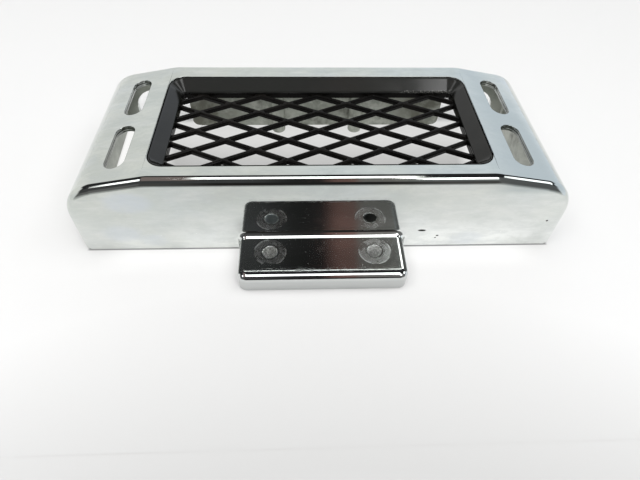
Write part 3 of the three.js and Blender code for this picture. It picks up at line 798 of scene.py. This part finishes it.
def floor_paper():
    n = Nodes("pale_floor")
    cloud = n.span(n.noise(1.6, 3.0, 0.5), 0.3, 0.7)
    fibre = n.noise(900.0, 3.0, 0.6)
    x, y, z = n.xyz()
    base = n.mix(cloud, (FLOOR * 0.99, FLOOR * 0.992, FLOOR * 0.985), (FLOOR * 1.01, FLOOR * 1.01, FLOOR * 1.004))
    # painted shade: the floor darkens towards its front edge, more so to the sides
    wide = n.math("MULTIPLY", n.math("MULTIPLY", x, x), 1.6)
    painted_shade_front = n.math("SUBTRACT", n.math("SUBTRACT", -0.055, y), wide)
    base = n.mix(n.span(painted_shade_front, 0.0, 0.080, smooth=False), base, (FLOOR * 0.748, FLOOR * 0.748, FLOOR * 0.740))
    # painted shade: the floor under the cover is painted dark, and its glow below stands in for the light
    under = n.math("MULTIPLY", n.span(n.math("ABSOLUTE", x), 0.1095, 0.1125, 1.0, 0.0), n.math("MULTIPLY", n.span(y, -0.0350, -0.0320), n.span(y, 0.056, 0.060, 1.0, 0.0)))
    base = n.mix(under, base, (0.13, 0.13, 0.128))
    # painted light: under the cover the floor glows, most under the cover's open corners and towards the rear
    painted_glow = n.math("MAXIMUM", n.span(n.math("ABSOLUTE", x), 0.062, 0.097, 0.0, 0.92), n.span(y, 0.020, 0.048, 0.43, 0.66))
    # painted light: a glow that pools in front of the front wall; painted shadow: the thin contact line along its foot
    beside = n.math("MULTIPLY", n.span(n.math("ABSOLUTE", x), 0.088, 0.1125, 1.0, 0.0), n.span(y, -0.0360, -0.0340, 1.0, 0.0))
    painted_glow_pool = n.math("MULTIPLY", beside, n.span(y, -0.052, -0.0365, 0.0, 0.19))
    line = n.math("MULTIPLY", n.span(n.math("ABSOLUTE", x), 0.1110, 0.1125, 1.0, 0.0), n.span(y, -0.03620, -0.03590, 0.0, 1.0))
    line = n.math("MULTIPLY", line, n.span(y, -0.0346, -0.0340, 1.0, 0.0))
    base = n.mix(n.math("MULTIPLY", line, 0.75), base, (0.16, 0.16, 0.16))
    painted_glow_pool = n.math("MULTIPLY", painted_glow_pool, n.math("SUBTRACT", 1.0, line))
    n.p.inputs["Emission Color"].default_value = (1.0, 1.0, 0.985, 1.0)
    n.put(n.p.inputs["Emission Strength"], n.math("MULTIPLY_ADD", under, painted_glow, painted_glow_pool))
    nb = n.bump(fibre, 0.00002, 0.5)
    return n.set(color=base, rough=0.75, normal=nb, spec=0.15)


EDGE_FLECK_Y = (LEAN @ Vector((0, OPEN_Y1 - BEZEL_INSET, FACE_H - 5.6))).y / 1000
M_CHROME, M_CAST, M_BEZEL, M_LATTICE = chrome(), cast_inside(), black_gloss(), black_satin()
M_BORE, M_SLOT = bore_metal(), chrome("chrome_slot", 0.13, 0.62)
M_SCREW, M_WASHER, M_FLOOR = zinc("screw_zinc", (0.62, 0.63, 0.65)), zinc("washer_zinc", (0.55, 0.56, 0.56)), floor_paper()

# ---------------------------------------------------------------------------
# pieces
# ---------------------------------------------------------------------------
finish_piece(build_housing(), "housing_chromed", ["housing"], [M_CHROME, M_CAST, M_BORE, M_SLOT])
finish_piece(build_bezel(), "bezel_ring", ["bezel"], [M_BEZEL])
finish_piece(build_lattice(), "lattice_grille", ["lattice_panel"], [M_LATTICE])

rng = random.Random(7)
screw_mesh, washer_mesh = build_screw(), build_washer()
for o in [o for o in col.objects if o.name.startswith(("screw_mesh", "washer_mesh"))]:
    bpy.data.objects.remove(o)
for where, (sx, sy) in SCREW_AT.items():
    for kind, mesh, dz, mat in (("screw", screw_mesh, 0.0, M_SCREW), ("washer", washer_mesh, FIT, M_WASHER)):
        me = mesh.copy()
        me.transform(LEAN @ Matrix.Translation((sx, sy, HEAD_SEAT + dz)) @ Matrix.Rotation(rng.uniform(0, math.tau), 4, "Z"))
        ob = bpy.data.objects.new(kind, me)
        col.objects.link(ob)
        finish_piece(ob, f"{kind}_piece_{where}", [f"{kind}_{where}"], [mat])

# ---------------------------------------------------------------------------
# stage: pale floor in two sheets, so that mirrors see the floor only up to the
# table's front edge, as the real table ends in front of the photographer
# ---------------------------------------------------------------------------
def sheet(name, x0, y0, x1, y1):
    me = bpy.data.meshes.new(name)
    me.from_pydata([(x0, y0, 0), (x1, y0, 0), (x1, y1, 0), (x0, y1, 0)], [], [(0, 1, 2, 3)])
    me.materials.append(M_FLOOR)
    ob = bpy.data.objects.new(name, me)
    col.objects.link(ob)
    return ob


EDGE = -0.128
table = sheet("floor_table", -0.30, EDGE, 0.30, 0.30)
around = sheet("floor_around", -4, -4, 4, 4)
table.location.z = -0.00005
around.location.z = -0.00020
around.visible_glossy = False

# ---------------------------------------------------------------------------
# light
# ---------------------------------------------------------------------------
def area(name, loc, size, power, target=(0, 0, 0), color=(1, 1, 1), spin=0.0):
    d = bpy.data.lights.new(name, "AREA")
    d.shape = "RECTANGLE"
    d.size, d.size_y = size
    d.energy = power
    d.color = color
    ob = bpy.data.objects.new(name, d)
    ob.location = loc
    q = (Vector(loc) - Vector(target)).to_track_quat("Z", "Y")
    ob.rotation_mode = "QUATERNION"
    ob.rotation_quaternion = q @ Matrix.Rotation(spin, 3, "Z").to_quaternion()
    ob.visible_camera = False
    col.objects.link(ob)
    return ob


top = area("overhead_softbox", (0.0, -0.22, 1.0), (2.0, 1.2), 14.5, target=(0.0, -0.22, 0.0), spin=math.radians(-5))
fill = area("front_softbox", (0.0, -1.3, 0.9), (2.0, 1.2), 7.0, target=(0.0, 0.0, 0.0))
# mirrors see these lamps as the world's bright patches below
top.visible_glossy = False
fill.visible_glossy = False

world = bpy.data.worlds.new("studio")
scene.world = world
world.use_nodes = True
wt = world.node_tree
wt.nodes.clear()


def wn(kind, **props):
    node = wt.nodes.new(kind)
    for k, v in props.items():
        setattr(node, k, v)
    return node


def wmath(op, a, b=0.0, c=0.0):
    m = wn("ShaderNodeMath", operation=op)
    for s, v in zip(m.inputs, (a, b, c)):
        if hasattr(v, "is_output"):
            wt.links.new(v, s)
        else:
            s.default_value = v
    return m.outputs[0]


def wspan(v, a, b, lo=0.0, hi=1.0):
    m = wn("ShaderNodeMapRange", interpolation_type="SMOOTHSTEP")
    wt.links.new(v, m.inputs["Value"])
    for k, val in (("From Min", a), ("From Max", b), ("To Min", lo), ("To Max", hi)):
        m.inputs[k].default_value = val
    return m.outputs[0]


def wmix(fac, a, b):
    m = wn("ShaderNodeMix", data_type="RGBA")
    for s, v in ((m.inputs[0], fac), (m.inputs[6], a), (m.inputs[7], b)):
        if hasattr(v, "is_output"):
            wt.links.new(v, s)
        else:
            s.default_value = v if not isinstance(v, tuple) else (*v, 1.0)
    return m.outputs[2]


tc = wn("ShaderNodeTexCoord")
sep = wn("ShaderNodeSeparateXYZ")
wt.links.new(tc.outputs["Generated"], sep.inputs[0])
dx, dy, dz = sep.outputs
ang = wmath("ARCTAN2", dz, dy)                    # 0 at the back horizon, pi/2 overhead, pi at the front horizon
ang = wmath("ADD", ang, wmath("MULTIPLY", wmath("LESS_THAN", ang, -1.2), 2 * math.pi))
deg = wmath("MULTIPLY", ang, 180 / math.pi)
adx = wmath("ABSOLUTE", dx)


def patch(e0, e1, x0, x1, se=2.0, sx=0.02):
    """1 inside a rectangle of direction, with soft edges."""
    a = wmath("MULTIPLY", wspan(deg, e0 - se, e0 + se), wspan(deg, e1 - se, e1 + se, 1.0, 0.0))
    b = wmath("MULTIPLY", wspan(dx, x0 - sx, x0 + sx), wspan(dx, x1 - sx, x1 + sx, 1.0, 0.0))
    return wmath("MULTIPLY", a, b)


# pale room behind, a little cooler to the right
rear = wmix(wspan(dx, -0.2, 0.45), (0.93, 0.935, 0.925), (0.92, 0.975, 1.04))
c = wmix(wspan(deg, 43.0, 50.0), rear, (0.028, 0.028, 0.030))
# dark ceiling towards the front, browner a little to the right
front = wmix(wspan(dx, -0.12, 0.0), (0.07, 0.07, 0.072), (0.024, 0.024, 0.024))
front = wmix(wspan(dx, 0.03, 0.075), front, (0.195, 0.11, 0.097))
front = wmix(wspan(dx, 0.105, 0.125), front, (0.20, 0.19, 0.18))
front = wmix(wspan(dx, 0.17, 0.24), front, (0.23, 0.235, 0.235))
front = wmix(wspan(dx, 0.45, 0.50), front, (0.16, 0.16, 0.16))
c = wmix(wspan(deg, 100.0, 106.0), c, front)
c = wmix(patch(66, 118, -0.46, -0.22, 6.0, 0.03), c, (0.27, 0.215, 0.205))
c = wmix(wspan(deg, 145.0, 156.0), c, wmix(wspan(adx, 0.16, 0.30), (0.022, 0.021, 0.020), (0.085, 0.083, 0.08)))
c = wmix(wmath("MULTIPLY", wspan(adx, 0.42, 0.50), wspan(deg, 145.0, 156.0)), c, (0.16, 0.16, 0.16))
# the floor in front, beyond the table's edge
shift = wspan(adx, 0.30, 0.55, 0.0, 11.0)
below = wmath("ADD", deg, shift)
c = wmix(wspan(below, 182.0, 197.0), c, (0.45, 0.455, 0.45))
c = wmix(wspan(below, 197.0, 210.0), c, (0.80, 0.81, 0.80))
# the room is pale to either side, further forward only right at the sides
side = wmath("SUBTRACT", adx, wspan(deg, 78.0, 100.0, 0.0, 0.08))
c = wmix(wspan(side, 0.80, 0.88), c, wmix(wspan(dx, -0.2, 0.2), (0.93, 0.935, 0.925), (0.92, 0.975, 1.04)))
# lamps
for e0, e1, x0, x1, v in ((77, 103, -0.22, 0.23, 3.4), (106, 112, 0.20, 0.45, 4.2), (112, 126, 0.245, 0.45, 5.8), (90, 113, -0.63, -0.50, 3.0), (72, 100, 0.64, 0.78, 3.0)):
    c = wmix(patch(e0, e1, x0, x1), c, (v, v, v))
lp = wn("ShaderNodeLightPath")
c = wmix(lp.outputs["Is Camera Ray"], c, (0.93, 0.93, 0.93))
bg = wn("ShaderNodeBackground")
wt.links.new(c, bg.inputs[0])
bg.inputs[1].default_value = 1.0
wo = wn("ShaderNodeOutputWorld")
wt.links.new(bg.outputs[0], wo.inputs[0])

# ---------------------------------------------------------------------------
# camera
# ---------------------------------------------------------------------------
cd = bpy.data.cameras.new("camera")
cam = bpy.data.objects.new("camera", cd)
cam.location = (-0.009169, SHIFT_Y / 1000 - 0.136018, 0.189080)
cam.rotation_euler = (0.6383689, -0.0222777, -0.0316365)
cd.sensor_fit = "HORIZONTAL"
cd.sensor_width = 36.0
cd.lens = 26.8657
cd.clip_start = 0.005
cd.clip_end = 20.0
col.objects.link(cam)
scene.camera = cam

scene.view_settings.view_transform = "Standard"
scene.view_settings.look = "None"
scene.view_settings.exposure = 0.0
scene.view_settings.gamma = 1.0
